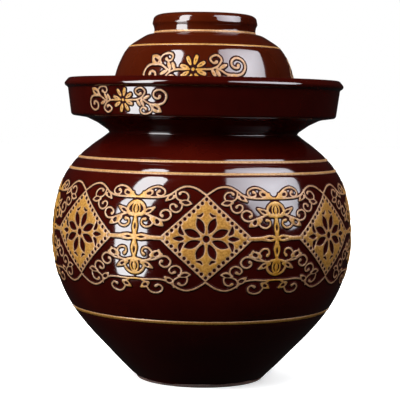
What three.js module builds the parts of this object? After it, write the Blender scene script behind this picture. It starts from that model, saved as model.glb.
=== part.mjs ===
// A water seal pickle jar of glazed stoneware, in millimetres, +Z up. It stands on z = 0 with its axis on Z.
// The jar is made in sections that are joined before firing: the lower and the upper body, the mouth collar
// and the water moat round the collar. A small lid with a knob lies on the mouth. Over it a bowl stands upside
// down in the moat, where the water round its rim keeps air out. The bowl's foot ring is its grip.

import * as THREE from "three";

// How finely the round pieces are cut
const facets = 48;
const knobFacets = 32;
const curveSteps = 12;

// The gap left between two pieces that lie on each other or stand side by side
const seatGap = 0.3;

// Jar body
const footRadius = 55;
const footChamferWidth = 2.6;
const footChamferHeight = 1.6;
const footLandWidth = 10;
const footRecess = 2.5;
const bellyRadius = 127.2;
const bellyHeight = 122;
const shoulderHeight = 86.6;
const bodyWall = 8.5;
const floorThickness = 10;
const throatDepth = 6;

// Mouth collar, which stands up inside the moat
const mouthRadius = 57.5;
const collarWall = 6.5;
const collarHeight = 48;
const collarLipRound = 2;

// Water moat, a floor on the neck round the collar and the wall that stands on it
const neckSeatWidth = 15.9;
const moatFloorThickness = 10;
const moatWaterWidth = 24.4;
const moatWall = 7;
const moatFlare = 3;
const moatRimHeight = 45.6;
const moatUndersideRise = 15;
const moatFootRound = 2.6;
const moatSeatMargin = 4;
const moatBeadHeight = 9.6;
const moatBeadBulge = 3.2;

// Inner lid
const innerLidInset = 1;
const innerLidThickness = 5;
const innerLidEdgeRound = 1.6;
const plugClearance = 2;
const plugDepth = 6;
const knobRadius = 11.5;
const knobNeckRadius = 7.5;
const knobFootRadius = 9.5;
const knobHeight = 13.5;

// Bowl, which stands upside down in the moat
const bowlCollarGap = 11;
const bowlTopRadius = 44.5;
const bowlWall = 5.8;
const knobHeadroom = 10.8;

// Foot ring of the bowl, its grip
const gripNeckRadius = 42.8;
const gripBulge = 1.7;
const gripHeight = 16.8;
const gripWidth = 9.5;

// Radii that follow from the sizes above
const collarRadius = mouthRadius + collarWall;
const neckRadius = collarRadius + neckSeatWidth;
const bowlRimRadius = collarRadius + bowlCollarGap + bowlWall;
const moatFootRadius = bowlRimRadius + moatWaterWidth + moatWall;
const moatWallRadius = moatFootRadius + moatFlare;
const innerLidRadius = collarRadius - innerLidInset;

// Heights that follow from the sizes above
const neckLevel = bellyHeight + shoulderHeight;
const mouthLevel = neckLevel + collarHeight;
const moatFloorLevel = neckLevel + moatFloorThickness;
const moatFootLevel = neckLevel + moatUndersideRise;
const moatRimLevel = neckLevel + moatRimHeight;
const innerLidLevel = mouthLevel + seatGap;
const innerLidTopLevel = innerLidLevel + innerLidThickness;
const bowlRimLevel = moatFloorLevel + seatGap;
const bowlCeilingLevel = innerLidTopLevel + knobHeight + knobHeadroom;
const bowlTopLevel = bowlCeilingLevel + bowlWall;

// Outlines, as shares of the way out from the narrow radius to the wide one, and of the height
const lowerOutlineShares = [
  [0, 0],
  [0.17, 0.1],
  [0.33, 0.2],
  [0.55, 0.34],
  [0.735, 0.48],
  [0.866, 0.62],
  [0.951, 0.765],
  [0.992, 0.9],
  [1, 1],
];
const upperOutlineShares = [
  [1, 0],
  [0.976, 0.2],
  [0.91, 0.395],
  [0.852, 0.495],
  [0.775, 0.592],
  [0.657, 0.689],
  [0.499, 0.786],
  [0.283, 0.885],
  [0.13, 0.945],
  [0, 1],
];
const bowlOutlineShares = [
  [1, 0],
  [0.978, 0.178],
  [0.93, 0.354],
  [0.851, 0.528],
  [0.777, 0.643],
  [0.672, 0.757],
  [0.598, 0.814],
  [0.493, 0.87],
  [0.325, 0.927],
  [0.124, 0.985],
  [0, 1],
];
const knobWaistShare = 0.2;
const knobCentreShare = 0.62;
const gripRoundShare = 0.42;

const glaze = new THREE.MeshStandardMaterial({ color: 0x4a1209, roughness: 0.12, metalness: 0 });

const at = (radius, height) => new THREE.Vector2(radius, height);

// A smooth curve through outline shares, with evenly spaced points.
function outlineCurve(shares, narrowRadius, wideRadius, level, height) {
  const points = shares.map(([out, up]) =>
    at(THREE.MathUtils.lerp(narrowRadius, wideRadius, out), level + height * up),
  );
  return new THREE.SplineCurve(points).getSpacedPoints(curveSteps);
}

// The curve one wall inside another, from its top down.
function insideOf(curve, wall) {
  const inset = curve.map((point, i) => {
    const before = curve[Math.max(i - 1, 0)];
    const after = curve[Math.min(i + 1, curve.length - 1)];
    const along = after.clone().sub(before).normalize();
    return at(point.x - along.y * wall, point.y + along.x * wall);
  });
  return inset.reverse();
}

// Part of a circle, between two directions in degrees from straight out.
function arc(centreRadius, centreHeight, radius, fromDegrees, toDegrees, steps = 3) {
  return Array.from({ length: steps + 1 }, (_, i) => {
    const angle = THREE.MathUtils.degToRad(THREE.MathUtils.lerp(fromDegrees, toDegrees, i / steps));
    return at(centreRadius + radius * Math.cos(angle), centreHeight + radius * Math.sin(angle));
  });
}

// Turns an outline round Z. The outline runs up its outer side, and off the axis it is closed on itself.
function turned(name, outline, steps = facets) {
  const closed = outline[0].x > 0 ? [...outline, outline[0]] : outline;
  const geometry = new THREE.LatheGeometry(closed, steps);
  geometry.rotateX(Math.PI / 2);
  const mesh = new THREE.Mesh(geometry, glaze.clone());
  mesh.name = name;
  return mesh;
}

function lowerBody() {
  const curve = outlineCurve(
    lowerOutlineShares,
    footRadius,
    bellyRadius,
    footChamferHeight,
    bellyHeight - footChamferHeight,
  );
  const inside = insideOf(curve, bodyWall).filter(
    ({ y }) => y > floorThickness + bodyWall && y < bellyHeight - bodyWall / 2,
  );
  const landRadius = footRadius - footChamferWidth;
  const recessRadius = landRadius - footLandWidth;
  const cornerRadius = inside.at(-1).x - bodyWall;
  return turned("lower_body", [
    at(0, footRecess),
    at(recessRadius - footRecess, footRecess),
    at(recessRadius, 0),
    at(landRadius, 0),
    ...curve,
    at(bellyRadius - bodyWall, bellyHeight),
    ...inside,
    at(cornerRadius, floorThickness + bodyWall / 4),
    at(cornerRadius - bodyWall, floorThickness),
    at(0, floorThickness),
  ]);
}

function upperBody() {
  const curve = outlineCurve(upperOutlineShares, neckRadius, bellyRadius, bellyHeight, shoulderHeight);
  const inside = insideOf(curve, bodyWall).filter(
    ({ x, y }) => x > collarRadius + bodyWall && y > bellyHeight + bodyWall / 2,
  );
  const throatLevel = neckLevel - throatDepth;
  return turned("upper_body", [
    ...curve,
    at(mouthRadius, neckLevel),
    at(mouthRadius + throatDepth / 4, throatLevel),
    at(collarRadius, throatLevel - throatDepth / 2),
    ...inside,
    at(bellyRadius - bodyWall, bellyHeight),
  ]);
}

function mouthCollar() {
  const lipLevel = mouthLevel - collarLipRound;
  return turned("mouth_collar", [
    at(collarRadius, neckLevel),
    ...arc(collarRadius - collarLipRound, lipLevel, collarLipRound, 0, 90),
    ...arc(mouthRadius + collarLipRound, lipLevel, collarLipRound, 90, 180),
    at(mouthRadius, neckLevel),
  ]);
}

// The straight stretch of the moat's underside, and the point of it where the wall is joined to the floor.
function moatUnderside() {
  const start = at(neckRadius + seatGap, neckLevel + moatUndersideRise / 6);
  const end = at(moatFootRadius - 2 * moatFootRound, moatFootLevel - moatFootRound / 2);
  const share = (moatFloorLevel - start.y) / (end.y - start.y);
  return { start, end, joint: start.clone().lerp(end, share) };
}

function moatFloor() {
  const innerRadius = collarRadius + seatGap;
  const { start, joint } = moatUnderside();
  return turned("moat_floor", [
    at(neckRadius, neckLevel),
    start,
    joint,
    at(innerRadius, moatFloorLevel),
    at(innerRadius, neckLevel),
  ]);
}

function moatWallRing() {
  const { end, joint } = moatUnderside();
  const footRoundCentre = moatFootRadius - moatFootRound;
  const beadRound = moatBeadHeight / 2;
  const beadFootLevel = moatRimLevel - moatBeadHeight;
  const lipRound = moatWall / 2;
  const troughRadius = moatFootRadius - moatWall;
  const troughLevel = moatFootLevel + moatWall;
  return turned("moat_wall", [
    joint,
    end,
    ...arc(footRoundCentre, moatFootLevel + moatFootRound, moatFootRound, -60, 0),
    at(moatWallRadius, beadFootLevel - beadRound / 4),
    ...arc(moatWallRadius + moatBeadBulge - beadRound, moatRimLevel - beadRound, beadRound, -45, 90, 6),
    ...arc(moatWallRadius - lipRound, moatRimLevel - lipRound, lipRound, 90, 180),
    at(troughRadius, troughLevel + lipRound),
    at(troughRadius - lipRound, troughLevel),
    at(bowlRimRadius + moatSeatMargin, moatFloorLevel),
  ]);
}

function innerLidDisc() {
  const plugRadius = mouthRadius - plugClearance;
  const plugLevel = innerLidLevel - plugDepth;
  const edge = innerLidEdgeRound;
  return turned("inner_lid_disc", [
    at(0, plugLevel),
    at(plugRadius - edge, plugLevel),
    at(plugRadius, plugLevel + edge),
    at(plugRadius, innerLidLevel),
    at(innerLidRadius, innerLidLevel),
    ...arc(innerLidRadius - edge, innerLidTopLevel - edge, edge, 0, 90),
    at(0, innerLidTopLevel),
  ]);
}

function innerLidKnob() {
  const centreLevel = innerLidTopLevel + knobHeight * knobCentreShare;
  const halfHeight = knobHeight * (1 - knobCentreShare);
  const head = arc(0, 0, 1, -40, 90, 5).map(({ x, y }) => at(knobRadius * x, centreLevel + halfHeight * y));
  head.at(-1).x = 0;
  return turned(
    "inner_lid_knob",
    [
      at(0, innerLidTopLevel),
      at(knobFootRadius, innerLidTopLevel),
      at(knobNeckRadius, innerLidTopLevel + knobHeight * knobWaistShare),
      ...head,
    ],
    knobFacets,
  );
}

function lidBowl() {
  const curve = outlineCurve(
    bowlOutlineShares,
    bowlTopRadius,
    bowlRimRadius,
    bowlRimLevel,
    bowlTopLevel - bowlRimLevel,
  );
  const inside = insideOf(curve, bowlWall).filter(
    ({ y }) => y > bowlRimLevel + bowlWall / 4 && y < bowlCeilingLevel - bowlWall / 8,
  );
  return turned("lid_bowl", [
    at(0, bowlCeilingLevel),
    at(inside[0].x - bowlWall, bowlCeilingLevel),
    ...inside,
    at(bowlRimRadius - bowlWall, bowlRimLevel),
    ...curve,
    at(0, bowlTopLevel),
  ]);
}

function lidFootRing() {
  const widestRadius = gripNeckRadius + gripBulge;
  const innerRadius = widestRadius - gripWidth;
  const topLevel = bowlTopLevel + gripHeight;
  const outerRound = gripWidth * gripRoundShare;
  const innerRound = outerRound / 2;
  return turned("lid_foot_ring", [
    at(gripNeckRadius + gripBulge / 3, bowlTopLevel),
    at(gripNeckRadius, bowlTopLevel + gripHeight / 4),
    at(widestRadius, bowlTopLevel + gripHeight / 2),
    at(gripNeckRadius + gripBulge / 3, topLevel - outerRound),
    at(gripNeckRadius - gripBulge / 3, topLevel - outerRound / 3),
    at(gripNeckRadius - outerRound, topLevel),
    at(innerRadius + innerRound, topLevel),
    at(innerRadius, topLevel - innerRound),
    at(innerRadius, bowlTopLevel),
  ]);
}

const jar = new THREE.Group();
jar.add(lowerBody(), upperBody(), mouthCollar(), moatFloor(), moatWallRing());

const innerLid = new THREE.Group();
innerLid.add(innerLidDisc(), innerLidKnob());

const outerLid = new THREE.Group();
outerLid.add(lidBowl(), lidFootRing());

const waterSealJar = new THREE.Group();
waterSealJar.add(jar, innerLid, outerLid);

export default waterSealJar;
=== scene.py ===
# The looks of a glazed water seal pickle jar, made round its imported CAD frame.
# Shapes are worked out in millimetres, and their meshes are made in metres. Angles round the jar are
# counted from its front, which is -Y, towards +X.

import math

import bpy
import numpy as np
from mathutils import Matrix, Vector, geometry


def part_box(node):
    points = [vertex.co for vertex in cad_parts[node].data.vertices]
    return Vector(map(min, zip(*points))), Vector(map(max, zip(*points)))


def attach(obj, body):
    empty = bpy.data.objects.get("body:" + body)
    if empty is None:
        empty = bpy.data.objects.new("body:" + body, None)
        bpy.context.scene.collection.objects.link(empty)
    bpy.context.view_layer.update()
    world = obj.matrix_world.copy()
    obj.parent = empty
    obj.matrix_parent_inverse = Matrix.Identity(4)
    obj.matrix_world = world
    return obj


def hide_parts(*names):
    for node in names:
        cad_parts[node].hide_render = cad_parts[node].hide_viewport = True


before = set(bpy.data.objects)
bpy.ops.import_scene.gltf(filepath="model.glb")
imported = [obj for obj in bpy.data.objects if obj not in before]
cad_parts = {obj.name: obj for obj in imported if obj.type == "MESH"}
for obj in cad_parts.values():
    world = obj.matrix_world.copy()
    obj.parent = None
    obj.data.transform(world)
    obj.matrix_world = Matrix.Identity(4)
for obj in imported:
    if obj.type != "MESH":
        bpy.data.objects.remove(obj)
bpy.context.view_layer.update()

millimetre = 0.001
# How finely turned bodies, splines and rounds are cut
turn_steps = 192
spline_steps = 16
round_step = math.radians(9)


# Sizes that the frame gives

def sizes(node):
    """The largest radius of a CAD node, its lowest height and its greatest one, in mm."""
    low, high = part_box(node)
    return [metres / millimetre for metres in (high.x, low.z, high.z)]


belly_radius, _, belly_height = sizes("lower_body")
_, _, neck_height = sizes("upper_body")
collar_radius, _, mouth_height = sizes("mouth_collar")
_, _, moat_floor_height = sizes("moat_floor")
bead_radius, _, rim_height = sizes("moat_wall")
bowl_radius, bowl_rim_height, bowl_top_height = sizes("lid_bowl")
grip_radius, _, grip_height = sizes("lid_foot_ring")
inner_lid_radius, inner_lid_bottom, inner_lid_top = sizes("inner_lid_disc")
knob_radius, _, knob_height = sizes("inner_lid_knob")

# Sizes that the frame's boxes don't give
body_wall = 8.5
foot_radius = 55
foot_curve_height = 1.6
foot_glaze_height = 3.0
foot_recess = 2.5
foot_land_width = 10
floor_height = 10
mouth_radius = collar_radius - 6.5
neck_radius = collar_radius + 15.9
moat_foot_radius = bowl_radius + 31.4
moat_wall_radius = moat_foot_radius + 3
moat_foot_height = neck_height + 14.4
bowl_wall = 5.8
bowl_top_radius = 44.5
grip_neck_radius = grip_radius - 1.7
grip_width = 9.5

# Outlines as shares of the way out and up, the same as in the CAD
lower_shares = [(0, 0), (0.17, 0.1), (0.33, 0.2), (0.55, 0.34), (0.735, 0.48), (0.866, 0.62),
                (0.951, 0.765), (0.992, 0.9)]
upper_shares = [(1, 0), (0.976, 0.2), (0.91, 0.395), (0.852, 0.495), (0.775, 0.592), (0.657, 0.689),
                (0.499, 0.786), (0.283, 0.885), (0.13, 0.945), (0, 1)]
bowl_shares = [(1, 0), (0.978, 0.178), (0.93, 0.354), (0.851, 0.528), (0.777, 0.643), (0.672, 0.757),
               (0.598, 0.814), (0.493, 0.87), (0.325, 0.927), (0.124, 0.985), (0, 1)]


# Curves and outlines

def spline(points, spacing):
    """Evenly spaced points of a smooth curve through points whose first two numbers are a place."""
    given = np.asarray(points, float)
    padded = np.vstack([given[:1], given, given[-1:]])
    t = np.linspace(0, 1, spline_steps, endpoint=False)[:, None]
    parts = []
    for a, b, c, d in zip(padded, padded[1:], padded[2:], padded[3:]):
        linear = 2 * b + (c - a) * t
        parts.append((linear + (2 * a - 5 * b + 4 * c - d) * t**2 + (3 * b - a - 3 * c + d) * t**3) / 2)
    dense = np.vstack([*parts, given[-1:]])
    lengths = np.r_[0, np.cumsum(np.linalg.norm(np.diff(dense[:, :2], axis=0), axis=1))]
    even = np.linspace(0, lengths[-1], max(math.ceil(lengths[-1] / spacing), 1) + 1)
    return np.column_stack([np.interp(even, lengths, column) for column in dense.T])


def from_shares(shares, narrow_radius, wide_radius, low, high):
    """Outline points from shares of the way out and up."""
    width = wide_radius - narrow_radius
    return [(narrow_radius + out * width, low + up * (high - low)) for out, up in shares]


def normals(curve):
    """Unit normals of a curve that runs up the outer side of a body."""
    along = np.gradient(curve, axis=0)
    along /= np.linalg.norm(along, axis=1)[:, None]
    return np.column_stack([along[:, 1], -along[:, 0]])


def on_surface(curve, height):
    """The radius of a curve at some heights, and its normal there."""
    normal = normals(curve)
    columns = (curve[:, 0], normal[:, 0], normal[:, 1])
    return [np.interp(height, curve[:, 1], column) for column in columns]


def between(curve, low, high):
    """The points of a curve between two heights."""
    return [(x, y) for x, y in curve if low < y < high]


def inner_side(curve, wall, low, high):
    """The inside of a wall whose outside is a curve, from its top down, between two heights."""
    return between((curve - normals(curve) * wall)[::-1], low, high)


def arc(radius, height, size, start, end, steps):
    """Part of a circle in an outline, between two directions in degrees from straight out."""
    angles = np.radians(np.linspace(start, end, steps + 1))
    return [(radius + size * math.cos(a), height + size * math.sin(a)) for a in angles]


def rounded(corners):
    """An outline from corners, each a radius, a height and, where it is round, the size of its round."""
    places = [Vector(corner[:2]) for corner in corners]
    outline = []
    for i, (radius, height, *size) in enumerate(corners):
        if not size:
            outline.append((radius, height))
            continue
        before = (places[i - 1] - places[i]).normalized()
        after = (places[i + 1] - places[i]).normalized()
        half = before.angle(after) / 2
        centre = places[i] + (before + after).normalized() * size[0] / math.sin(half)
        start = places[i] + before * size[0] / math.tan(half) - centre
        end = places[i] + after * size[0] / math.tan(half) - centre
        turn = start.angle_signed(end)
        steps = max(3, math.ceil(abs(turn) / round_step))
        for k in range(steps + 1):
            outline.append(tuple(centre + Matrix.Rotation(-turn * k / steps, 2) @ start))
    return outline


# The outer curve of the body, from its foot to its neck
body_curve = spline(
    from_shares(lower_shares, foot_radius, belly_radius, foot_curve_height, belly_height)
    + from_shares(upper_shares, neck_radius, belly_radius, belly_height, neck_height),
    spacing=1.5,
)
# The outer curve of the bowl, from its rim to its top
bowl_curve = spline(
    from_shares(bowl_shares, bowl_top_radius, bowl_radius, bowl_rim_height, bowl_top_height),
    spacing=1.0,
)
# The hollow between the bowl's top and its grip
grip_foot_curve = spline([
    (bowl_top_radius, bowl_top_height - 0.2),
    (grip_neck_radius + 0.9, bowl_top_height + 0.3),
    (grip_neck_radius + 0.3, bowl_top_height + 1.1),
    (grip_neck_radius + 0.1, bowl_top_height + 2.4),
], spacing=0.3)
# The outside of the moat's wall, between its lower corner and its bead
moat_wall_curve = np.array([(moat_foot_radius, moat_foot_height), (moat_wall_radius, rim_height - 9.6)])


# Objects and meshes

def add_object(name, data):
    """A new object in the scene."""
    made = bpy.data.objects.new(name, data)
    bpy.context.scene.collection.objects.link(made)
    return made


def make_mesh(name, points, faces, uvs, materials, indices=None, **marks):
    """A smooth mesh object from points in mm. uvs holds one place for each corner of each face.

    marks are attributes that materials read, each with a number for each point.
    """
    mesh = bpy.data.meshes.new(name)
    mesh.from_pydata([tuple(p) for p in np.asarray(points) * millimetre], [], faces)
    layer = mesh.uv_layers.new(name="OFBake")
    layer.data.foreach_set("uv", np.asarray(uvs, np.float32).ravel())
    for material in materials:
        mesh.materials.append(material)
    if indices is not None:
        mesh.polygons.foreach_set("material_index", np.asarray(indices, np.int32))
    mesh.polygons.foreach_set("use_smooth", np.ones(len(mesh.polygons), bool))
    for key, values in marks.items():
        mark = mesh.attributes.new(key, "FLOAT", "POINT")
        mark.data.foreach_set("value", np.asarray(values, np.float32))
    mesh.update()
    return add_object(name, mesh)


def lathe(name, outline, material, ripple=None, **marks):
    """A body turned round Z from an outline that runs up its outer side.

    An outline that isn't on the axis at both ends is closed on itself. ripple gives how far each point
    is lifted at an angle, in mm. marks hold a number for each point of the outline.
    """
    rows = [tuple(p) for p in outline]
    closed = rows[0][0] > 0
    if closed:
        rows.append(rows[0])
    lengths = np.r_[0, np.cumsum(np.linalg.norm(np.diff(np.array(rows), axis=0), axis=1))]
    angles = np.arange(turn_steps) * 2 * math.pi / turn_steps
    points = []
    starts = []
    counts = []
    for i, (radius, height) in enumerate(rows):
        if closed and i == len(rows) - 1:
            starts.append(starts[0])
            continue
        starts.append(len(points))
        counts.append(turn_steps if radius else 1)
        if radius == 0:
            points.append((0, 0, height))
            continue
        heights = height + (ripple(angles, radius, height) if ripple else np.zeros(turn_steps))
        points.extend((radius * math.sin(a), -radius * math.cos(a), z) for a, z in zip(angles, heights))
    faces = []
    uvs = []
    for i in range(len(rows) - 1):
        for k in range(turn_steps):
            corners = [(i, k), (i, k + 1), (i + 1, k + 1), (i + 1, k)]
            corners = [(row, step) for row, step in corners if rows[row][0] or step == k]
            faces.append([
                starts[row] + (step % turn_steps if rows[row][0] else 0) for row, step in corners
            ])
            uvs.extend((step / turn_steps, lengths[row] / lengths[-1]) for row, step in corners)
    point_marks = {key: np.repeat(values, counts) for key, values in marks.items()}
    return make_mesh(name, points, faces, uvs, [material], **point_marks)


# The raised line's section: how far it stands over the glaze and under it
line_crest = 0.2
line_root = 0.8
# These lines are thin, so more of their width takes the pale edge colour, partly a painted highlight: how
# thick their gold is, as a share of the others'
thin_lines = ("shoulder_line_low", "shoulder_line_high", "grip_line")
thin_share = 0.6


def raised_line(name, curve, low, high, material):
    """A raised gold line round a curve, between two heights, with pale edges that are partly a painted
    highlight.
    """
    share = np.array([0, 0.03, 0.09, 0.16, 0.26, 0.38, 0.5, 0.62, 0.74, 0.84, 0.91, 0.97, 1])
    height = low + share * (high - low)
    radius, out, up = on_surface(curve, height)
    lift = (line_crest + line_root) * (1 - np.abs(2 * share - 1) ** 5) - line_root
    outline = list(zip(radius + out * lift, height + up * lift))
    depth = np.minimum(share, 1 - share) * (high - low) * (thin_share if name in thin_lines else 1)
    return lathe(name, outline, material, depth=depth)


# The gold lines round the body, each between two heights. The glaze dips round them.
body_lines = {
    "waist_line": (60.6, 63.8),
    "shoulder_line_low": (177.9, 180.2),
    "shoulder_line_high": (187.2, 189.2),
}
dip_depth = 0.5
dip_reach = 1.8
dip_rows = 18


def dipped(curve, bands):
    """A curve with a shallow dip round each of some bands of height."""
    middles = [(low + high) / 2 for low, high in bands]
    span = 2.5 * dip_reach
    near = [np.linspace(middle - span, middle + span, dip_rows) for middle in middles]
    heights = np.unique(np.concatenate([curve[:, 1], *near]))
    radius, out, up = on_surface(curve, heights)
    dip = sum(dip_depth * np.exp(-((heights - middle) / dip_reach) ** 2) for middle in middles)
    return np.column_stack([radius - out * dip, heights - up * dip])


# Raised ornaments are drawn flat, in mm, as a field that says how far inside the drawing a point is
grid_step = 0.4
far_outside = -9.0
stroke_margin = 1.5
sample_spacing = 0.35


class Drawing:
    """A flat drawing. Its field is positive inside what is drawn, and grows by 1 for each mm inwards."""

    def __init__(self, width, low, high):
        half = math.ceil(width / 2 / grid_step + 3) * grid_step
        self.x = np.arange(-half, half + grid_step / 2, grid_step)
        self.y = np.arange(low - 3 * grid_step, high + 3 * grid_step, grid_step)
        self.value = np.full((len(self.y), len(self.x)), far_outside)

    def window(self, points):
        """The part of the grid round a line, and the field that the line makes there."""
        samples = spline(points, sample_spacing)
        margin = samples[:, 2].max() + stroke_margin
        low = samples.min(axis=0) - margin
        high = samples.max(axis=0) + margin
        columns = np.flatnonzero((self.x > low[0]) & (self.x < high[0]))
        rows = np.flatnonzero((self.y > low[1]) & (self.y < high[1]))
        x, y = np.meshgrid(self.x[columns], self.y[rows])
        inside = np.full(x.shape, far_outside)
        for px, py, half in samples:
            inside = np.maximum(inside, half - np.hypot(x - px, y - py))
        return np.ix_(rows, columns), inside

    def stroke(self, points):
        """Draws a line through points. Each has its x, its y and its half width there."""
        area, inside = self.window(points)
        self.value[area] = np.maximum(self.value[area], inside)

    def hole(self, points):
        """Cuts a line through points out of what is drawn."""
        area, inside = self.window(points)
        self.value[area] = np.minimum(self.value[area], -inside)

    def draw(self, strokes, holes, sides):
        """Draws strokes and then cuts holes, once for each side. A side is the signs of x and y."""
        for act, lines in ((self.stroke, strokes), (self.hole, holes)):
            for points in lines:
                for x_sign, y_sign in sides:
                    act(np.array(points) * (x_sign, y_sign, 1))

    def at(self, places):
        """The field at some places, between the grid's points."""
        column = (places[:, 0] - self.x[0]) / grid_step
        row = (places[:, 1] - self.y[0]) / grid_step
        i = np.clip(column.astype(int), 0, len(self.x) - 2)
        j = np.clip(row.astype(int), 0, len(self.y) - 2)
        u = column - i
        v = row - j
        low = self.value[j, i] * (1 - u) + self.value[j, i + 1] * u
        high = self.value[j + 1, i] * (1 - u) + self.value[j + 1, i + 1] * u
        return low * (1 - v) + high * v


# Which sides of a grid cell the level's line joins, for each set of corners that are inside. The corners
# count 1, 2, 4 and 8, from the lower left one anticlockwise. Where two opposite ones and the middle are
# inside, the middle counts 16. The sides are 0 low, 1 right, 2 high and 3 left.
cell_lines = {
    1: [(3, 0)], 2: [(0, 1)], 3: [(3, 1)], 4: [(1, 2)], 6: [(0, 2)], 7: [(3, 2)],
    8: [(2, 3)], 9: [(2, 0)], 11: [(2, 1)], 12: [(1, 3)], 13: [(1, 0)], 14: [(0, 3)],
    21: [(3, 2), (1, 0)], 5: [(3, 0), (1, 2)], 26: [(0, 3), (2, 1)], 10: [(0, 1), (2, 3)],
}
# How near to a grid point a line may cross a cell's side, as a share of it
nearest_share = 0.08


def contour(drawing, level):
    """The closed lines where a drawing's field has a level: their points, and pairs of points."""
    value = drawing.value.copy()
    value[[0, -1], :] = far_outside
    value[:, [0, -1]] = far_outside
    inside = value > level
    numbers = {}
    points = []
    for axis in (0, 1):
        first, second = (value[:, :-1], value[:, 1:]) if axis == 0 else (value[:-1], value[1:])
        crossed = (first > level) != (second > level)
        rows, columns = np.nonzero(crossed)
        a = first[crossed]
        b = second[crossed]
        share = np.clip((level - a) / (b - a), nearest_share, 1 - nearest_share)
        table = np.full(value.shape, -1)
        table[rows, columns] = len(points) + np.arange(len(rows))
        numbers[axis] = table
        x = drawing.x[columns] + (share * grid_step if axis == 0 else 0)
        y = drawing.y[rows] + (share * grid_step if axis == 1 else 0)
        points.extend(zip(x, y))
    case = inside[:-1, :-1] + 2 * inside[:-1, 1:] + 4 * inside[1:, 1:] + 8 * inside[1:, :-1]
    middle = (value[:-1, :-1] + value[:-1, 1:] + value[1:, 1:] + value[1:, :-1]) / 4 > level
    case += 16 * (middle & ((case == 5) | (case == 10)))
    pairs = []
    for key, lines in cell_lines.items():
        j, i = np.nonzero(case == key)
        side = [numbers[0][j, i], numbers[1][j, i + 1], numbers[0][j + 1, i], numbers[1][j, i]]
        for start, end in lines:
            pairs.extend(zip(side[start].tolist(), side[end].tolist()))
    return points, pairs


merge_distance = 1e-5
least_area = 1e-9


def regions(drawing, points, pairs):
    """Triangles that cross no line of pairs, and the mean field of the region that each is in."""
    result = geometry.delaunay_2d_cdt([Vector(p) for p in points], pairs, [], 0, merge_distance, True)
    vertices, edges, triangles, _, edge_sources, _ = result
    places = np.array([tuple(v) for v in vertices])
    fences = {frozenset(edge) for edge, source in zip(edges, edge_sources) if source}
    beside = {}
    for number, triangle in enumerate(triangles):
        for k in range(3):
            beside.setdefault(frozenset((triangle[k], triangle[k - 1])), []).append(number)
    links = [[] for _ in triangles]
    for edge, numbers in beside.items():
        if edge not in fences:
            for number in numbers:
                links[number].extend(numbers)
    corners = places[np.array(triangles)]
    sides = corners[:, 1:] - corners[:, :1]
    areas = np.abs(sides[:, 0, 0] * sides[:, 1, 1] - sides[:, 0, 1] * sides[:, 1, 0]) / 2
    means = drawing.at(corners.mean(axis=1))
    region_mean = np.full(len(triangles), np.nan)
    for seed in range(len(triangles)):
        if not np.isnan(region_mean[seed]):
            continue
        region_mean[seed] = 0
        members = [seed]
        for number in members:
            for other in links[number]:
                if np.isnan(region_mean[other]):
                    region_mean[other] = 0
                    members.append(other)
        weights = areas[members] + least_area
        region_mean[members] = (means[members] * weights).sum() / weights.sum()
    return places, np.array(triangles), region_mean


# The section of a raised ornament: its height at some values of the drawing's field
foot_level = -1.3
edge_level = 0.0
flat_level = 0.3
cut_levels = (foot_level, edge_level, flat_level)
relief_levels = (*cut_levels, 1.2)
relief_heights = (-0.06, 0.26, 0.42, 0.52)
level_tolerance = 0.12
foot_tolerance = 0.01
inner_spacing = 1.4
inner_margin = 0.7
# The underside isn't seen, so it takes this share of its room on a texture
underside_share = 0.01


def unshared(first, second):
    """Which triangles of each of two lists the other list lacks."""
    keys = [[tuple(sorted(face)) for face in faces.tolist()] for faces in (first, second)]
    shared = set(keys[0]) & set(keys[1])
    return [np.array([key not in shared for key in some_keys]) for some_keys in keys]


def relief_lines(drawing):
    """The points that a relief's top goes through, and the pairs that are joined along its levels."""
    points = []
    pairs = []
    for level in cut_levels:
        level_points, level_pairs = contour(drawing, level)
        pairs.extend((a + len(points), b + len(points)) for a, b in level_pairs)
        points.extend(level_points)
    inner_x, inner_y = np.meshgrid(
        np.arange(drawing.x[0], drawing.x[-1], inner_spacing),
        np.arange(drawing.y[0], drawing.y[-1], inner_spacing),
    )
    inner = np.column_stack([inner_x.ravel(), inner_y.ravel()])
    points.extend(map(tuple, inner[drawing.at(inner) > inner_margin]))
    return points, pairs


def underside(drawing, places):
    """The triangles of a relief's underside, between places that its top has too."""
    under_places, triangles, means = regions(drawing, *contour(drawing, foot_level))
    numbers = {(round(x, 4), round(y, 4)): i for i, (x, y) in enumerate(places)}
    same = np.array([numbers[(round(x, 4), round(y, 4))] for x, y in under_places])
    return same[triangles[means > foot_level][:, ::-1]]


def lift_of(field, extra_height):
    """How high a relief stands, in mm, where the drawing's field has some values."""
    settled = field.copy()
    for level in cut_levels:
        settled[np.abs(field - level) < level_tolerance] = level
    lift = np.interp(settled, relief_levels, relief_heights)
    return np.where(lift > relief_heights[0] + foot_tolerance, lift + extra_height, lift)


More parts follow.
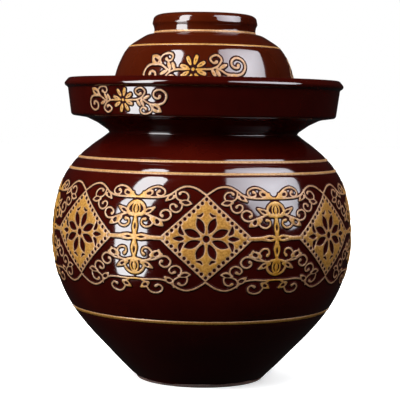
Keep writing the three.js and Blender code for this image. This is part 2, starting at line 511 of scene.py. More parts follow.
def relief(name, drawing, wrap, materials, extra_height=0.0, warm_width=0.0):
    """A closed raised ornament from a drawing. wrap puts flat places and heights on the jar's surface.

    Its gold is warmer round the drawing's middle line, over about warm_width mm to each side.
    """
    places, triangles, means = regions(drawing, *relief_lines(drawing))
    triangles = triangles[means > foot_level]
    means = means[means > foot_level]
    under_triangles = underside(drawing, places)
    kept, under_kept = unshared(triangles, under_triangles)
    means = means[kept]
    faces = np.vstack([triangles[kept], under_triangles[under_kept]])
    indices = np.ones(len(faces), int)
    indices[:len(means)] = np.where(means > edge_level, 0, 1)
    used, numbers = np.unique(faces, return_inverse=True)
    faces = numbers.reshape(faces.shape)
    places = places[used]
    field = drawing.at(places)
    span = max(drawing.x[-1] - drawing.x[0], drawing.y[-1] - drawing.y[0])
    uvs = ((places - (drawing.x[0], drawing.y[0])) / span)[faces.ravel()]
    uvs[3 * len(means):] *= underside_share
    x, y = places.T
    solid = wrap(x, y, lift_of(field, extra_height))
    warmth = np.exp(-(x / warm_width) ** 2) if warm_width else np.zeros(len(x))
    return make_mesh(name, solid, faces.tolist(), uvs, materials, indices, depth=field, warmth=warmth)


def wrapped_round(curve, base_height, scale_radius, scale=1.0):
    """A function that puts flat places, in mm, on the turned surface of a curve."""
    def wrap(x, y, lift):
        height = base_height + y * scale
        radius, out, up = on_surface(curve, height)
        a = x * scale / scale_radius
        r = radius + out * lift
        return np.column_stack([r * np.sin(a), -r * np.cos(a), height + up * lift])
    return wrap


# Frieze round the belly. Its middle is at frieze_height, and a cell lies between the middles of two
# diamonds. The turn is that of a diamond's middle from the front, in degrees.
cell_count = 7
frieze_height = 130
frieze_turn = 1.5
cell_width = 2 * math.pi * belly_radius / cell_count

# One half of a cell, with x from the cell's middle to the diamond's. A stroke is its half width and
# its points.
frieze_lines = [
    (0.95, [(57, 33), (53, 35.6), (48, 38.3), (42, 39.4), (37, 38.6), (32.5, 36.3), (28, 33.3), (23, 31.5),
            (17, 30.8), (9, 30.6), (0, 30.8)]),
    (0.85, [(32, 36), (32.2, 33), (33.5, 30.3), (36, 29), (39, 28.6)]),
    (0.95, [(57, -33.5), (53, -36.3), (48, -39), (42, -40.3), (37, -39.4), (32.5, -37), (28, -33.8),
            (23, -32.3), (17, -32), (9, -32.5), (0, -32.3)]),
    (0.85, [(32, -38), (31.6, -34), (33, -31.6), (37, -29.5)]),
]
# Lines that end in a curl with a small knob
frieze_curls = [
    (0.85, [(39, 28.6), (41.5, 28.8), (42.7, 31.5), (42, 33.5), (40, 35), (37, 35.2), (35.5, 34)]),
    (0.9, [(37.8, 27.5), (37.7, 24), (36.5, 21.5), (34, 20), (31, 20.3), (28.5, 22.5), (28.5, 25),
           (30.5, 26), (32.5, 25.3), (33.2, 24.4)]),
    (1.0, [(12, 17), (17, 15.3), (23, 13.5), (27, 14.3), (29.2, 17), (28.5, 20), (25.5, 21.4), (22, 20.4),
           (20.7, 18), (22.3, 16.9)]),
    (1.0, [(0, 18), (7, 18.2), (12, 16.5), (15.2, 13), (13.5, 9.3), (9, 8.2), (5.6, 10.5), (6, 13.5),
           (8.6, 14)]),
    (0.95, [(2, 31), (8, 35.8), (13, 38.2), (18, 38.7), (22.3, 36.8), (23.2, 34), (20.5, 31.8), (17, 32.6),
            (16.4, 34.6), (18.3, 35.4)]),
    (0.85, [(37, -29.5), (42, -29.5), (42.8, -32), (41.5, -35), (38.5, -36.2), (36, -35)]),
    (0.9, [(37.5, -28.5), (38.3, -24.7), (37, -22.2), (34, -21), (30.3, -22.3), (28.8, -25), (30.5, -27),
           (33, -26)]),
    (1.0, [(10, -17.4), (17, -16.5), (23, -14), (27, -14.3), (29.9, -17.5), (28.5, -21), (25, -22.3),
           (21.8, -20.6), (21.5, -18.4), (22.9, -17.7)]),
    (1.0, [(0, -15.5), (5, -17.5), (11, -17.3), (15, -14.5), (15, -11), (12, -8), (8, -8.2), (6.8, -11),
           (8.4, -13)]),
    (0.95, [(6, -33.4), (10.2, -35.5), (9.8, -38.5), (12.5, -42), (17, -43), (21.5, -41.5), (22.7, -38.5),
            (20.2, -36.3), (17.3, -37.4)]),
]
# Leaves, petals and stems, each a line whose points have half widths of their own
frieze_leaves = [
    [(36.6, 27.6, 1.2), (41, 27.1, 2.4), (45.2, 26.5, 0.5)],
    [(32, 31.6, 0.9), (28, 30.9, 2.0), (24.5, 28.4, 0.6)],
    [(13.4, 14.6, 1.4), (16.5, 13, 2.7), (19.6, 11.8, 2.7), (23, 9.6, 0.7)],
    [(6, 19.2, 1.0), (10.5, 20.2, 2.2), (15.8, 23, 0.7)],
    [(3, 31.5, 0.8), (8.5, 33.4, 2.6), (11.5, 34.5, 1.6), (4.4, 34.0, 0.6)],
    [(0, 1, 1.3), (0, 5, 1.9), (0, 8, 2.3), (0, 11, 1.9), (0, 15, 1.2)],
    [(23, 0, 1.5), (18, 0, 1.5), (13, 0.2, 1.5), (9.5, 1.3, 1.1), (5.5, 2.0, 0.8), (1.5, 0.8, 1.0),
     (0, 0.2, 1.2)],
    [(13, 0, 1.4), (9.5, -0.8, 1.1), (5.5, -1.5, 0.8), (1.5, -0.5, 1.0), (0, 0, 1.2)],
    [(36.6, -28.9, 1.2), (41, -27.6, 2.2), (45.2, -27.6, 0.5)],
    [(31.5, -33, 0.9), (28.4, -32.6, 2.4), (25, -30, 0.6)],
    [(14, -13.6, 1.2), (17, -12.6, 2.6), (19.8, -12, 2.5), (20.5, -9.2, 0.6)],
    [(20, -12.2, 2.2), (23.2, -12.4, 0.7)],
    [(6, -19.4, 1.0), (10.5, -20.8, 2.2), (15.2, -23.2, 0.7)],
    [(11.5, -35, 0.9), (8.5, -36.6, 2.4), (4.5, -38.8, 0.6)],
    [(0, -1, 1.2), (0, -5, 2.0), (0, -8, 2.9), (0, -11, 2.2), (0, -15, 1.1)],
    [(0, 16.5, 1.6), (0, 18.5, 2.8), (0, 21.5, 3.7), (0, 24.3, 3.0), (0, 27, 1.2)],
    [(2, 16.9, 0.8), (5.6, 17.4, 0.9), (7.4, 20.2, 1.0), (6.6, 23.8, 1.1), (3.6, 26.5, 1.0),
     (0, 27.7, 0.8)],
    [(0, -16, 1.4), (0, -18.5, 3.0), (0, -21.5, 3.9), (0, -24.3, 3.2), (0, -27, 1.2)],
    [(2, -16.6, 0.8), (6.2, -17.8, 0.9), (8.3, -21, 0.9), (7, -24.8, 0.95), (3.8, -27.3, 0.9),
     (0, -28.3, 0.8)],
]
frieze_holes = [
    [(38.2, 27.8, 0.7), (40.6, 27.4, 1.4), (43.2, 27, 0.6)],
    [(27, 30.4, 0.7), (28.2, 31.1, 1.2), (29.4, 32.1, 0.7)],
    [(18, 13.2, 1.2), (18.8, 12.1, 1.6)],
    [(9, 19.5, 0.6), (10.8, 20.4, 1.1), (12.6, 21.2, 0.6)],
    [(8.6, 33.3, 1.0), (10.4, 33.8, 1.3)],
    [(0, 6.2, 0.4), (0, 8.3, 0.95), (0, 10.4, 0.4)],
    [(38.4, -28.7, 0.7), (40.8, -28.1, 1.3), (43.2, -27.7, 0.6)],
    [(27.3, -32.2, 0.9), (28.8, -32.6, 1.5), (30, -32.9, 0.9)],
    [(17.8, -12.8, 1.4), (19.2, -12.1, 1.5)],
    [(9.4, -20.3, 0.7), (11.2, -21.2, 1.1)],
    [(7.4, -36.9, 1.0), (8.8, -36.5, 1.3)],
    [(0, -7.2, 0.4), (0, -9.6, 1.0), (0, -12, 0.4)],
    [(1.0, 18.8, 0.3), (1.9, 20.4, 0.62), (1.9, 22.6, 0.62), (0.9, 24.8, 0.3)],
    [(1.0, -19.4, 0.3), (2.0, -21, 0.62), (2.0, -23.2, 0.62), (0.9, -25.4, 0.3)],
]
frieze_low = -45
frieze_high = 41
# How far a panel goes past the middle of a diamond, so that it meets the next one
frieze_overlap = 0.25
# The half width of the knob that ends a curl
curl_knob = 1.15
# How wide lines and curls are drawn, as a share of the widths that they are given
stroke_share = 0.68
# A dot is a stroke of this length
dot_length = 0.01


def even_line(half_width, points):
    """The points of a stroke of one width."""
    return [(x, y, half_width * stroke_share) for x, y in points]


def curl(half_width, points):
    """The points of a stroke of one width that ends in a knob."""
    return [*even_line(half_width, points[:-1]), (*points[-1], curl_knob)]


def dot(x, y, radius):
    """The points of a round dot."""
    return [(x, y, radius), (x + dot_length, y, radius)]


def strokes_of(lines, curls, leaves):
    """The points of all strokes of a drawing."""
    return [*[even_line(*line) for line in lines], *[curl(*line) for line in curls], *leaves]


def frieze_drawing():
    """The scrolls between the middles of two diamonds, whose left half mirrors the right one."""
    drawing = Drawing(cell_width, frieze_low, frieze_high)
    strokes = strokes_of(frieze_lines, frieze_curls, frieze_leaves)
    drawing.draw(strokes, frieze_holes, sides=[(1, 1), (-1, 1)])
    seam = cell_width / 2 + frieze_overlap - np.abs(drawing.x)
    drawing.value = np.minimum(drawing.value, seam[None, :])
    return drawing


# Diamonds of the frieze, with a row of dots along each side
diamond_half_width = 37
diamond_half_height = 33.2
diamond_margin = 2
dots_per_side = 10
dot_radius = 1.4
dot_inset = 2.4
# The blossom in a diamond's middle. A petal is its distances from the middle and its half widths there.
petal_count = 8
petal_shape = [(5.4, 0.9), (8.6, 2.5), (11.6, 3.1), (14.4, 1.9), (16.4, 0.6)]
blossom_stretch = 1.08
blossom_middle = 2.7
# The small leaves round it, in one quarter of a diamond
corner_leaves = [
    [(17.6, 0, 0.7), (20.6, 0, 1.9), (25, 0, 0.6)],
    [(17.8, 3.4, 0.8), (19.8, 5.4, 1.7), (20.2, 9.2, 0.6)],
    [(3, 19.2, 0.6), (4.6, 17.6, 1.0), (7, 17.4, 0.5)],
]


def petal(angle, shape, stretch=1):
    """The points of a line out from the middle, from its distances and its half widths there."""
    along = Vector((math.cos(angle) * stretch, math.sin(angle)))
    return [(*(along * distance), half_width) for distance, half_width in shape]


def diamond_drawing():
    """A diamond with dots along its sides and a sunken blossom in its middle."""
    high = diamond_half_height + diamond_margin
    drawing = Drawing(2 * (diamond_half_width + diamond_margin), -high, high)
    slope = math.hypot(diamond_half_width, diamond_half_height)
    x, y = np.meshgrid(np.abs(drawing.x), np.abs(drawing.y))
    share = 1 - x / diamond_half_width - y / diamond_half_height
    drawing.value = share * (diamond_half_width * diamond_half_height / slope)
    dot_half_width = diamond_half_width - dot_inset * slope / diamond_half_height
    dot_half_height = diamond_half_height - dot_inset * slope / diamond_half_width
    corners = [(dot_half_width, 0), (0, dot_half_height), (-dot_half_width, 0), (0, -dot_half_height)]
    for start, end in zip(corners, corners[1:] + corners[:1]):
        for k in range(dots_per_side):
            x, y = [a + (b - a) * k / dots_per_side for a, b in zip(start, end)]
            drawing.hole(dot(x, y, dot_radius))
    for k in range(petal_count):
        drawing.hole(petal(2 * math.pi * (k + 0.5) / petal_count, petal_shape, blossom_stretch))
    drawing.hole(dot(0, 0, blossom_middle))
    drawing.draw([], corner_leaves, sides=[(1, 1), (1, -1), (-1, 1), (-1, -1)])
    return drawing


# One half of the spray on the moat's wall and on the bowl. The other half is it, turned by half a turn.
spray_lines = [
    (0.9, [(-2.5, 0.1), (-7.2, -0.1), (-12, -0.2), (-15.3, -1.1), (-17.7, -2.3)]),
    (0.9, [(-16.5, -1), (-19.6, 0.4), (-23, 2.5), (-25.4, 3.2)]),
]
spray_curls = [
    (0.95, [(-17.7, -2.3), (-20.4, -6.3), (-18.4, -9.0), (-16, -9.5), (-13, -8.2), (-12.2, -6.3),
            (-14.6, -4.2), (-16.6, -5)]),
    (0.95, [(-24.4, 3.7), (-25.8, 6.4), (-25.2, 8.6), (-22.8, 10.2), (-19.6, 10.7), (-16.8, 9.9),
            (-15.8, 8.0), (-16.8, 6.1), (-19, 5.6), (-20.8, 6.8)]),
    (1.1, [(-24.4, 3.2), (-29.2, 3.5), (-33.5, 3.0), (-36.4, 1.1), (-38, -2.5), (-37, -5.8), (-34, -7.7),
           (-30.6, -7.7), (-28, -5.8), (-27.8, -3), (-30.1, -1.3), (-32.3, -1.6), (-32.7, -3)]),
]
spray_leaves = [
    [(-16.6, 0.6, 0.8), (-17.6, 2.3, 1.25), (-18.6, 3.9, 0.9)],
    [(-13.4, 0.3, 0.8), (-14.4, 2.2, 1.2), (-15.4, 3.8, 0.9)],
    [(-19.4, -1.2, 0.8), (-21.4, -2.1, 1.2), (-23.4, -3, 0.8)],
    [(-28.2, 3.9, 1.2), (-29.4, 6.2, 3.2), (-33.2, 8.8, 0.6)],
    [(-28, 6.2, 1.4), (-27.2, 8, 0.8)],
]
spray_holes = [[(-30.6, 7, 0.7), (-28.2, 5.6, 1.0)]]
spray_width = 84
spray_half_height = 12.5
# The flower between the two halves
flower_angles = (-20, 30, 75, 120, 165, 210, 255, 300)
flower_petal = [(3.9, 0.75), (6.4, 1.35), (8.6, 1.2)]
flower_slit = [(5.2, 0.2), (7.0, 0.3)]
flower_middle = 1.1


def spray_drawing():
    """A flower between two scrolls, with its middle at the drawing's middle."""
    drawing = Drawing(spray_width, -spray_half_height, spray_half_height)
    strokes = strokes_of(spray_lines, spray_curls, spray_leaves)
    drawing.draw(strokes, spray_holes, sides=[(1, 1), (-1, -1)])
    for angle in np.radians(flower_angles):
        drawing.stroke(petal(angle, flower_petal))
        drawing.hole(petal(angle, flower_slit))
    drawing.stroke(dot(0, 0, flower_middle))
    return drawing


# Materials

def linear(red, green, blue):
    """A colour given as it looks on a screen, as shaders take it."""
    levels = [c / 255 for c in (red, green, blue)]
    return (*[((c + 0.055) / 1.055) ** 2.4 if c > 0.04 else c / 12.92 for c in levels], 1)


def darker(colour, share):
    """A colour with less light in it."""
    return (*[c * share for c in colour[:3]], 1)


class Shader:
    """Builds the nodes of a material."""

    def __init__(self, name):
        self.material = bpy.data.materials.new(name)
        self.material.use_nodes = True
        self.tree = self.material.node_tree
        self.surface = self.tree.nodes["Principled BSDF"]
        self.place = self.node("ShaderNodeTexCoord").outputs["Object"]

    def fill(self, node, sources):
        """Joins outputs to a node's sockets, or sets their values or the node's settings."""
        for key, source in sources.items():
            socket = node.inputs.get(key.replace("_", " "))
            if not socket:
                setattr(node, key, source)
            elif isinstance(source, bpy.types.NodeSocket):
                self.tree.links.new(source, socket)
            else:
                socket.default_value = source

    def put(self, **sources):
        """Joins outputs to the surface's sockets, or sets their values."""
        self.fill(self.surface, sources)

    def node(self, kind, **sources):
        """A new node."""
        made = self.tree.nodes.new(kind)
        self.fill(made, sources)
        return made

    def noise(self, scale, detail=3.0, roughness=0.5):
        """A noise over the object's own coordinates, in metres."""
        sockets = {"Vector": self.place, "Scale": scale, "Detail": detail, "Roughness": roughness}
        return self.node("ShaderNodeTexNoise", **sockets).outputs["Fac"]

    def ramp(self, factor, levels, colours):
        """A colour at each level of a factor, mixed between them."""
        ramp = self.node("ShaderNodeValToRGB", Fac=factor)
        elements = ramp.color_ramp.elements
        for level in levels[1:-1]:
            elements.new(level)
        for element, level, colour in zip(elements, levels, colours):
            element.position = level
            element.color = colour
        return ramp.outputs["Color"]

    def mark(self, name):
        """The marks of one name on the mesh's points."""
        return self.node("ShaderNodeAttribute", attribute_name=name).outputs["Fac"]

    def mixed(self, factor, first, second):
        """One colour where a factor is 0, and another where it is 1."""
        return self.node("ShaderNodeMixRGB", Fac=factor, Color1=first, Color2=second).outputs["Color"]

    def spread(self, factor, low, high, into_low, into_high):
        """A factor stretched from one range into another."""
        return self.node("ShaderNodeMapRange", Value=factor, From_Min=low, From_Max=high,
                         To_Min=into_low, To_Max=into_high).outputs["Result"]

    def bump(self, factor, strength, distance, **below):
        """The normals of a fine relief, over those of one below."""
        bump = self.node("ShaderNodeBump", Height=factor, Strength=strength, Distance=distance, **below)
        return bump.outputs["Normal"]

    def glow(self, **sources):
        """Makes the surface one that only glows, and joins or sets its sockets."""
        self.tree.nodes.remove(self.surface)
        self.surface = self.node("ShaderNodeEmission", **sources)
        output = self.tree.nodes["Material Output"]
        self.fill(output, {"Surface": self.surface.outputs["Emission"]})


def glaze_material(name, colours):
    """Dark glossy glaze with faint clouds. It reflects little where its mesh is marked dull."""
    shader = Shader(name)
    clouds = shader.noise(22, detail=4, roughness=0.55)
    shader.put(Base_Color=shader.ramp(clouds, (0.3, 0.5, 0.72), colours))
    gloss = shader.node("ShaderNodeMath", operation="ADD")
    shader.tree.links.new(shader.spread(shader.noise(90), 0.3, 0.7, 0.05, 0.09), gloss.inputs[0])
    shader.tree.links.new(shader.spread(shader.mark("dull"), 0, 1, 0, 0.1), gloss.inputs[1])
    shader.put(Roughness=gloss.outputs["Value"])
    shader.put(Specular_IOR_Level=shader.spread(shader.mark("dull"), 0, 1, 0.5, 0.04))
    waves = shader.bump(shader.noise(38, detail=1), 0.25, 0.0002)
    shader.put(Normal=shader.bump(shader.noise(420, detail=2), 0.1, 0.00005, Normal=waves), IOR=1.5)
    return shader.material


def outline_material(name, colour):
    """The dull edge of the glaze along the gold. Its darker colour is painted shade, for the dark
    reflection where the glaze curves down to the gold; its dullness is a surface setting.
    """
    shader = Shader(name)
    clouds = shader.noise(160, detail=3)
    shader.put(Base_Color=shader.ramp(clouds, (0.3, 0.7), (darker(colour, 0.7), colour)))
    shader.put(Roughness=0.6, Specular_IOR_Level=0.04)
    shader.put(Normal=shader.bump(shader.noise(900, detail=2), 0.3, 0.0001))
    return shader.material


def gold_material(name, edge_colours, middle_colours, warm_colours):
    """Matte raised gold enamel, mottled and grainy. Along its edges it is paler, partly a paler gold and
    partly a painted highlight where a raised edge catches the light.
    """
    shader = Shader(name)
    patches = shader.noise(60, detail=3, roughness=0.6)
    grains = shader.noise(650, detail=3, roughness=0.7)
    both = shader.node("ShaderNodeMix", Factor=0.75, A=patches, B=grains)
    edge, middle, warm = [
        shader.ramp(both.outputs["Result"], (0.39, 0.49, 0.6), colours)
        for colours in (edge_colours, middle_colours, warm_colours)
    ]
    # Near the edges the pale edge colour takes over: partly paler gold, partly painted highlight
    thick = shader.spread(shader.mark("depth"), 0.25, 0.7, 0, 1)
    plain = shader.mixed(thick, edge, middle)
    shader.put(Base_Color=shader.mixed(shader.mark("warmth"), plain, warm))
    shader.put(Roughness=shader.spread(shader.noise(600), 0.3, 0.7, 0.26, 0.4))
    grain = shader.bump(shader.noise(1500, detail=3), 0.25, 0.0001)
    shader.put(Normal=shader.bump(shader.noise(300, detail=2), 0.12, 0.00015, Normal=grain))
    shader.put(Specular_IOR_Level=0.25)
    return shader.material


def clay_material():
    """Bare fired clay of the foot, with sand in it."""
    shader = Shader("bare_clay")
    grains = shader.noise(700, detail=4, roughness=0.7)
    colours = (linear(70, 42, 34), linear(104, 66, 50), linear(134, 92, 68))
    shader.put(Base_Color=shader.ramp(grains, (0.3, 0.55, 0.75), colours), Roughness=0.85)
    shader.put(Normal=shader.bump(grains, 0.6, 0.0004))
    return shader.material


glaze = glaze_material("brown_glaze", (linear(56, 7, 3), linear(64, 9, 4), linear(72, 13, 5)))
lid_glaze = glaze_material("light_brown_glaze", (linear(74, 20, 5), linear(80, 24, 6), linear(88, 30, 9)))
# The glaze along the gold: duller, and darker than the glaze as painted shade
outline = outline_material("painted_shade_outline", linear(44, 6, 3))
# Raised gold. Its edge colours are paler gold with a painted highlight in them
gold = gold_material(
    "raised_gold",
    edge_colours=(linear(190, 142, 100), linear(206, 160, 120), linear(226, 184, 146)),
    middle_colours=(linear(186, 126, 48), linear(206, 147, 64), linear(226, 172, 84)),
    warm_colours=(linear(202, 138, 36), linear(220, 156, 46), linear(236, 180, 68)),
)
clay = clay_material()


# Pieces

def place(piece, body, slot, *nodes):
    """Makes a piece move with a body and hides the CAD nodes that it stands for. Its slot is not used."""
    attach(piece, body)
    if nodes:
        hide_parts(*nodes)


# The moat's wall at its foot, and the height where its inside turns in to the floor
moat_wall_thickness = 7
moat_corner_height = 231.5


def jar_outline():
    """The glazed surface of the jar, from under its middle up, over the moat and down inside."""
    outside = between(dipped(body_curve, body_lines.values()), foot_glaze_height + 2, neck_height - 0.6)
    inside = inner_side(body_curve, body_wall, floor_height + 9, neck_height - 10)[::2]
    return [
        (0, foot_glaze_height + 0.4),
        (foot_radius - 3, foot_glaze_height + 0.4),
        *arc(foot_radius + 0.55, foot_glaze_height + 0.1, 0.35, -120, 0, 4),
        *outside,
        *rounded([
            (neck_radius + 0.1, neck_height - 0.2),
            (neck_radius + 1.4, neck_height + 1.9, 3),
            (neck_radius + 9.9, neck_height + 7.8, 12),
            (neck_radius + 19, neck_height + 12.2, 12),
            (moat_foot_radius, moat_foot_height - 0.4, 3.2),
            (moat_wall_radius + 0.1, rim_height - 8.2, 2.0),
            (bead_radius + 0.9, rim_height - 5.6, 2.4),
            (moat_wall_radius - 0.6, rim_height, 2.6),
            (moat_foot_radius - 6, rim_height, 2.8),
            (moat_foot_radius - moat_wall_thickness, rim_height - 16, 20),
            (moat_foot_radius - moat_wall_thickness, moat_corner_height, 7),
            (bowl_radius + 4, moat_floor_height, 4),
            (collar_radius, moat_floor_height, 3),
            (collar_radius, mouth_height, 2),
            (mouth_radius, mouth_height, 2),
            (mouth_radius, neck_height - 2, 2),
            (collar_radius + 4, neck_height - 11, 3),
            inside[0],
        ])[:-1],
        *inside,
        *rounded([
            (52, 16, 4),
            (40, floor_height, 6),
            (0, floor_height),
        ]),
    ]


# The shelter under the moat. The glaze is dull round this place. It grows glossy over shelter_fade mm, up
# to shelter_reach mm away.
shelter_radius = neck_radius + 12
shelter_height = neck_height + 9
shelter_reach = 17.6
shelter_fade = 8


def shelter(radius, height):
    """How dull the glaze is at a place, from 0 to 1."""
    distance = math.hypot(radius - shelter_radius, height - shelter_height)
    return min(1.0, max(0.0, (shelter_reach - distance) / shelter_fade))


# The waves in the glaze's lower edge: the size of each in mm, how many go round the jar, and its start
edge_waves = [(0.45, 3, 0.6), (0.3, 7, 2.1), (0.15, 17, 0)]
wave_reach = 2.5


def foot_ripple(angles, radius, height):
    """How far the glaze's lower edge wanders up and down round the foot."""
    near = max(0.0, 1 - abs(height - foot_glaze_height) / wave_reach) if radius > foot_radius - 2 else 0
    return near * sum(size * np.sin(count * angles + start) for size, count, start in edge_waves)


def foot_outline():
    """The bare clay of the foot: a land round a shallow recess."""
    land_radius = foot_radius - 1.3
    recess_radius = land_radius - foot_land_width
    return rounded([
        (0, foot_recess),
        (recess_radius - foot_recess, foot_recess, 1.0),
        (recess_radius, 0, 0.8),
        (land_radius, 0, 0.5),
        (foot_radius - 0.3, foot_curve_height, 0.6),
        (foot_radius + 0.6, foot_glaze_height + 1.0),
        (foot_radius - 4, foot_glaze_height + 1.6),
        (0, foot_glaze_height + 1.6),
    ])


def bowl_outline():
    """The outer lid: a bowl upside down, with its foot ring on top as a grip."""
    rim = bowl_wall / 2
    inside = inner_side(bowl_curve, bowl_wall, bowl_rim_height + 3, bowl_top_height - bowl_wall - 1.5)
    outside = between(bowl_curve, bowl_rim_height + rim + 0.5, bowl_top_height - 0.25)
    grip_side = spline([
        (grip_neck_radius + 0.1, bowl_top_height + 2.6),
        (grip_neck_radius + 0.2, bowl_top_height + 4.4),
        (grip_neck_radius + 0.7, bowl_top_height + 6.4),
        (grip_radius, bowl_top_height + 8.4),
    ], spacing=0.7)
    grip_shoulder = spline([
        (grip_radius, bowl_top_height + 8.9),
        (grip_radius - 0.5, bowl_top_height + 11.4),
        (grip_radius - 1.1, grip_height - 3.3),
        (grip_radius - 2.9, grip_height - 1.5),
        (grip_radius - 5.8, grip_height - 0.4),
        (grip_radius - 8.4, grip_height),
    ], spacing=0.7)
    return [
        (0, bowl_top_height - bowl_wall),
        (inside[0][0] - 4, bowl_top_height - bowl_wall),
        *inside,
        *arc(bowl_radius - rim, bowl_rim_height + rim, rim, -180, 0, 14),
        *outside,
        *grip_foot_curve,
        *grip_side,
        *grip_shoulder,
        *rounded([
            (grip_radius - grip_width, grip_height, 1.6),
            (grip_radius - grip_width - 0.6, bowl_top_height, 3),
            (0, bowl_top_height),
        ]),
    ]


def inner_lid_outline():
    """The inner lid: a disc with a plug under it and a knob on it."""
    seat = mouth_height + 0.3
    plug_radius = mouth_radius - 2
    knob_rise = knob_height - inner_lid_top
    knob = [(9.5, 0.02), (7.9, 0.1), (7.3, 0.2), (8.2, 0.3), (10.4, 0.42), (knob_radius, 0.6),
            (10.8, 0.79), (8.4, 0.92), (4.6, 0.985)]
    return [
        *rounded([
            (0, inner_lid_bottom),
            (plug_radius, inner_lid_bottom, 1.6),
            (plug_radius, seat, 0.5),
            (inner_lid_radius, seat, 0.5),
            (inner_lid_radius, inner_lid_top, 1.6),
            (11.5, inner_lid_top),
        ]),
        *spline([(r, inner_lid_top + share * knob_rise) for r, share in knob], spacing=0.6),
        (0, knob_height),
    ]


jar_rows = jar_outline()
place(
    lathe("jar_skin", jar_rows, glaze, ripple=foot_ripple, dull=[shelter(*row) for row in jar_rows]),
    "jar", "glaze", "lower_body", "upper_body", "mouth_collar", "moat_floor", "moat_wall",
)
place(lathe("foot_clay", foot_outline(), clay), "jar", "clay")
inner_lid = lathe("inner_lid_skin", inner_lid_outline(), lid_glaze)
place(inner_lid, "inner_lid", "glaze", "inner_lid_disc", "inner_lid_knob")
place(lathe("bowl_skin", bowl_outline(), lid_glaze), "outer_lid", "glaze", "lid_bowl", "lid_foot_ring")

# The gold lines round the bowl and its grip, each with its curve and its two heights
bowl_lines = {
    "bowl_line": (bowl_curve, 280.0, 281.8),
    "grip_line": (grip_foot_curve, 292.1, 294.2),
}
for name, band in body_lines.items():
    place(raised_line(name, body_curve, *band, gold), "jar", "gilt")
for name, (curve, low, high) in bowl_lines.items():
    place(raised_line(name, curve, low, high, gold), "outer_lid", "gilt")

# Where the sprays are: the height of a flower's middle, the radius there, and the angles of its copies.
# The bowl's next spray begins at the photo's right edge, so its three aren't quite evenly spaced.
moat_spray_height = 235.2
moat_spray_radius = 114.5
moat_spray_turn = -33.7
bowl_spray_height = 260.4
bowl_spray_radius = 80
bowl_spray_scale = 1.22
bowl_spray_turns = (-7, 107, 230)
# How far from the middle line of a panel or a spray its gold is warm
warm_width = 9
# How much higher a diamond stands than a panel
diamond_lift = 0.05


def even_turns(count, start):
    """Angles in degrees that go evenly round the jar from a start angle."""
    return [start + 360 * k / count for k in range(count)]


def set_round(piece, name, body, turns):
    """Puts a piece and copies of it round the jar, at the angles of turns, in degrees."""
    for k, turn in enumerate(turns):
        made = piece if k == 0 else add_object(f"{name}_{k + 1}", piece.data.copy())
        more = turn if k == 0 else turn - turns[0]
        made.data.transform(Matrix.Rotation(math.radians(more), 4, "Z"))
        place(made, body, "gilt")


# The gold, and the outline whose darker colour is painted shade
relief_materials = [gold, outline]
frieze_wrap = wrapped_round(body_curve, frieze_height, belly_radius)
panel = relief("scroll_panel_1", frieze_drawing(), frieze_wrap, relief_materials, warm_width=warm_width)
diamond = relief("diamond_1", diamond_drawing(), frieze_wrap, relief_materials, extra_height=diamond_lift)
set_round(diamond, "diamond", "jar", even_turns(cell_count, frieze_turn))
set_round(panel, "scroll_panel", "jar", even_turns(cell_count, frieze_turn + 180 / cell_count))

spray = spray_drawing()
moat_wrap = wrapped_round(moat_wall_curve, moat_spray_height, moat_spray_radius)
moat_spray = relief("moat_spray_1", spray, moat_wrap, relief_materials, warm_width=warm_width)
set_round(moat_spray, "moat_spray", "jar", even_turns(2, moat_spray_turn))
bowl_wrap = wrapped_round(bowl_curve, bowl_spray_height, bowl_spray_radius, bowl_spray_scale)
bowl_spray = relief("bowl_spray_1", spray, bowl_wrap, relief_materials, warm_width=warm_width)
set_round(bowl_spray, "bowl_spray", "outer_lid", bowl_spray_turns)


# Camera, light and ground

def aim(thing, target):
    """Turns a thing's -Z towards a target."""
    direction = Vector(target) - thing.location
    thing.rotation_euler = direction.to_track_quat("-Z", "Y").to_euler()


# The place and the view that were fitted to the photo
camera_place = (-0.0019, -1.137, 0.2273)
camera_target = (-0.0019, 0, 0.1514)
camera_lens = 119.8
camera_roll = math.radians(0.9)

camera = add_object("camera", bpy.data.cameras.new("camera"))
camera.location = camera_place
camera.data.lens = camera_lens
aim(camera, camera_target)
rolled = camera.rotation_euler.to_matrix() @ Matrix.Rotation(camera_roll, 3, "Z")
camera.rotation_euler = rolled.to_euler()
bpy.context.scene.camera = camera
bpy.context.scene.view_settings.view_transform = "Standard"

# The stage, in metres
jar_middle = Vector((0, 0, 0.15))
softbox_distance = 3.0
sun_strength = 2.4
sun_width = math.radians(60)
sun_tilt = (math.radians(12), math.radians(-8), 0)
floor_half = 8
wall_radius = 7.5
wall_heights = (-1.0, 7.0)
wall_sides = 64
world_strength = 0.012


def direction_at(azimuth, elevation):
    """A unit direction, from an angle round the jar and one above the level, in degrees."""
    a = math.radians(azimuth)
    e = math.radians(elevation)
    return Vector((math.sin(a) * math.cos(e), -math.cos(a) * math.cos(e), math.sin(e)))


def add_lamp(name, kind, energy):
    """A lamp in the scene."""
    data = bpy.data.lights.new(name, kind)
    data.energy = energy
    return add_object(name, data)


def add_panel(name, points, faces, material, hidden_from):
    """A stage thing from points in metres, hidden from some kinds of rays."""
    mesh = bpy.data.meshes.new(name)
    mesh.from_pydata(points, [], faces)
    mesh.materials.append(material)
    thing = add_object(name, mesh)
    for rays in hidden_from:
        setattr(thing, f"visible_{rays}", False)
    return thing


def softbox(name, strength, tint, edge_share, directions):
    """A glowing panel that is only seen in the jar's gloss, with its corners in some directions.

    Its edge glows with edge_share of the middle's strength.
    """
    corners = [jar_middle + direction_at(*direction) * softbox_distance for direction in directions]
    count = len(corners)
    shader = Shader(name)
    shader.glow(Color=(*tint, 1), Strength=shader.spread(shader.mark("glow"), 0, 1, 0, strength))
    points = [sum(corners, Vector()) / count, *corners]
    faces = [(0, 1 + k, 1 + (k + 1) % count) for k in range(count)]
    panel = add_panel(name, points, faces, shader.material, ("diffuse", "camera", "shadow"))
    glow = panel.data.attributes.new("glow", "FLOAT", "POINT")
    glow.data.foreach_set("value", [1.0] + [edge_share] * count)


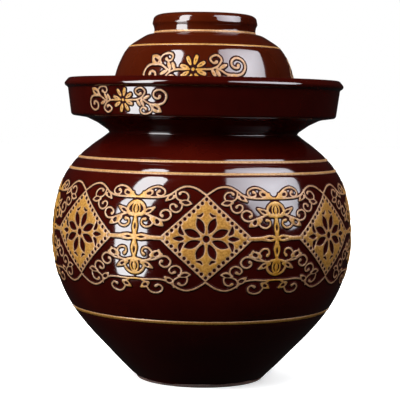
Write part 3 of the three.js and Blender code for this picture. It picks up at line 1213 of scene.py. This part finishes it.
# Lamps light the jar's colours and aren't seen in its gloss. Each has its angles round and up, its
# distance, its width and its watts.
for name, azimuth, elevation, distance, width, watts in [
    ("key_left", -48, 38, 1.6, 1.2, 29),
    ("key_right", 44, 38, 1.8, 1.2, 11),
    ("back_left", -145, 35, 1.9, 1.4, 17),
    ("back_right", 140, 35, 1.9, 1.4, 17),
]:
    lamp = add_lamp(name, "AREA", watts)
    lamp.data.size = width
    lamp.location = jar_middle + direction_at(azimuth, elevation) * distance
    aim(lamp, jar_middle)
    lamp.visible_glossy = False
    lamp.visible_camera = False

softbox("strip_left", strength=19, tint=(0.96, 0.98, 1), edge_share=1.0, directions=[
    (-62, -29), (-47, -29), (-42, -23), (-40, 0), (-41, 14), (-36, 27), (-37, 52), (-52, 60), (-66, 56),
    (-62, 40), (-60, 25), (-68, 13), (-66, 0), (-68, -24),
])
softbox("umbrella_right", strength=16.5, tint=(0.9, 0.92, 1), edge_share=0.5, directions=[
    (21, 40), (28, 58), (36, 67), (62, 67), (88, 60), (106, 46), (96, 36), (90, 28), (86, 21), (79, 15),
    (77, 5), (69, 3.5), (60, 6.5), (51, 9), (41, 15), (30, 24), (25, 33),
])


def ground():
    """A pale floor that takes the jar's shadow."""
    shader = Shader("floor_white")
    grey = (0.93, 0.93, 0.93, 1)
    cloud = shader.noise(1.5, detail=1)
    shader.put(Base_Color=shader.ramp(cloud, (0.3, 0.7), (darker(grey, 0.985), grey)))
    shader.put(Roughness=0.9, Emission_Color=(1, 1, 1, 1), Emission_Strength=0.4)
    points = [(x * floor_half, y * floor_half, 0) for x, y in [(-1, -1), (1, -1), (1, 1), (-1, 1)]]
    return add_panel("floor", points, [(0, 1, 2, 3)], shader.material, ("glossy", "diffuse", "shadow"))


def floor_light(floor):
    """A soft sun that lights nothing but the floor, so that it renders white round the jar's shadow."""
    lamp = add_lamp("floor_sun", "SUN", sun_strength)
    lamp.data.angle = sun_width
    lamp.rotation_euler = sun_tilt
    receivers = bpy.data.collections.new("floor_sun_receivers")
    receivers.objects.link(floor)
    lamp.light_linking.receiver_collection = receivers


def backdrop():
    """A white wall far behind and round the jar, which gives no light."""
    points = []
    for k in range(wall_sides):
        a = 2 * math.pi * k / wall_sides
        points.extend([(wall_radius * math.sin(a), -wall_radius * math.cos(a), z) for z in wall_heights])
    count = len(points)
    faces = [(k, (k + 2) % count, (k + 3) % count, k + 1) for k in range(0, count, 2)]
    shader = Shader("backdrop_white")
    shader.glow(Color=(1, 1, 1, 1), Strength=1.0)
    add_panel("backdrop", points, faces, shader.material, ("diffuse", "glossy", "shadow"))


floor_light(ground())
backdrop()

world = bpy.data.worlds.new("studio")
bpy.context.scene.world = world
world.use_nodes = True
background = world.node_tree.nodes["Background"]
background.inputs["Color"].default_value = (1, 1, 1, 1)
background.inputs["Strength"].default_value = world_strength
